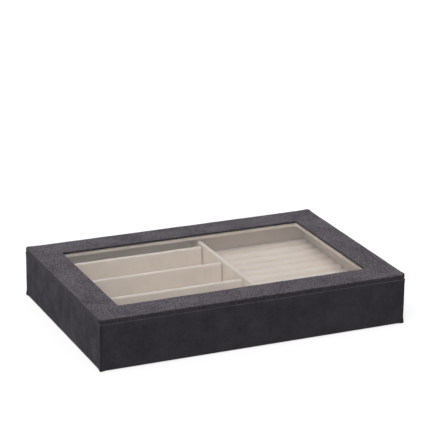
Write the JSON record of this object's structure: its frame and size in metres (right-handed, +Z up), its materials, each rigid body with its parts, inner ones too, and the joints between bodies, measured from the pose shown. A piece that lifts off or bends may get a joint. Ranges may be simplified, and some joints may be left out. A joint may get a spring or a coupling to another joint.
{
  "type": "jewelry organizer",
  "caption": "Shallow suede-covered jewelry tray with divided compartments, a bed of ring rolls and a lift-off framed lid with a glass window.",
  "frame": {"origin": "middle of the underside, where the felt rests on the table", "axes": "+X right along the longest side, +Y to the back, +Z up; the front wall faces -Y and the ring rolls are at +X"},
  "size_m": [0.35, 0.235, 0.0573],
  "materials": {
    "charcoal_suede": "matt brushed charcoal suede with a soft mottled nap",
    "beige_suede": "matt beige suede lining",
    "roll_suede": "matt pale beige suede over soft foam",
    "black_felt": "thin black felt",
    "grey_board": "plain pressed board and card, covered all over",
    "clear_glass": "clear polished pane"
  },
  "bodies": {
    "tray": {"wall_front": "grey_board", "wall_back": "grey_board", "wall_left": "grey_board", "wall_right": "grey_board", "base_board": "grey_board", "bottom_felt": "black_felt", "outer_cover": "charcoal_suede", "lining_front_board": "grey_board", "lining_front_cover": "beige_suede", "lining_back_board": "grey_board", "lining_back_cover": "beige_suede", "lining_left_board": "grey_board", "lining_left_cover": "beige_suede", "lining_right_board": "grey_board", "lining_right_cover": "beige_suede", "floor_card": "grey_board", "floor_cover": "beige_suede", "center_divider_board": "grey_board", "center_divider_cover": "beige_suede", "cross_divider_1_board": "grey_board", "cross_divider_1_cover": "beige_suede", "cross_divider_2_board": "grey_board", "cross_divider_2_cover": "beige_suede", "cross_divider_3_board": "grey_board", "cross_divider_3_cover": "beige_suede", "ring_card": "grey_board", "ring_roll_01": "roll_suede", "ring_roll_02": "roll_suede", "ring_roll_03": "roll_suede", "ring_roll_04": "roll_suede", "ring_roll_05": "roll_suede", "ring_roll_06": "roll_suede", "ring_roll_07": "roll_suede", "ring_roll_08": "roll_suede", "ring_roll_09": "roll_suede", "ring_roll_10": "roll_suede", "ring_roll_11": "roll_suede", "ring_roll_12": "roll_suede"},
    "lid": {"lid_cover": "charcoal_suede", "lid_top_board": "grey_board", "lid_spacer_board": "grey_board", "lid_glass": "clear_glass", "lid_backing_board": "grey_board", "lid_backing_cover": "beige_suede"}
  },
  "joints": [
    {"name": "lid_lift", "type": "slide", "parent": "tray", "child": "lid", "axis": [0, 0, 1], "range_m": [0, 0.193]}
  ]
}
